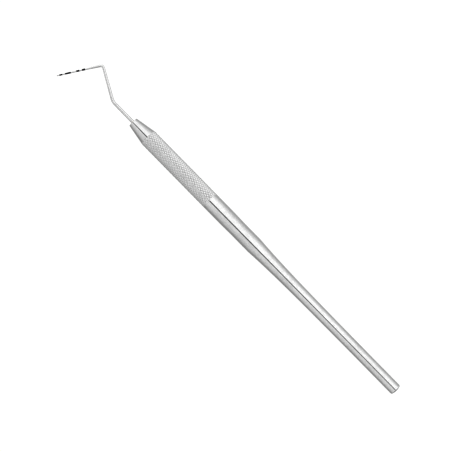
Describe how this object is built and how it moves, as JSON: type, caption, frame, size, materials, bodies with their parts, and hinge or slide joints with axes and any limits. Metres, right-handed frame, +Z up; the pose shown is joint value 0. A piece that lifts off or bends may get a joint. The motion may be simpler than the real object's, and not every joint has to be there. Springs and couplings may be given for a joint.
{
  "type": "graduated dental probe",
  "caption": "Single-ended dental probe: hollow handle with a knurled grip and slim tail, smooth nose cone, and a doubly bent wire with a tapered black-banded tip.",
  "frame": {"origin": "on the surface that the probe lies on, under the middle of its bounding box", "axes": "+X along the handle towards the working end; +Z up from the surface; the bent working end lies in a plane parallel to the surface at the height of the handle's axis, with its tip towards +Y"},
  "size_m": [0.159, 0.014, 0.0063],
  "materials": {
    "handle_steel": "satin-polished stainless steel with fine turning lines and a diamond knurl",
    "nose_steel": "polished stainless steel with fine turning lines",
    "wire_steel": "polished stainless steel",
    "braze_silver": "bright silver braze, slightly warm",
    "band_black": "matte black resin"
  },
  "bodies": {
    "root": {"handle_tube": "handle_steel", "nose_cone": "nose_steel", "tail_plug": "handle_steel", "probe_wire": "wire_steel", "braze_ring": "braze_silver", "mark_1_to_2": "band_black", "mark_3_to_5": "band_black", "mark_7_to_8": "band_black", "mark_9_to_10": "band_black"}
  },
  "joints": []
}
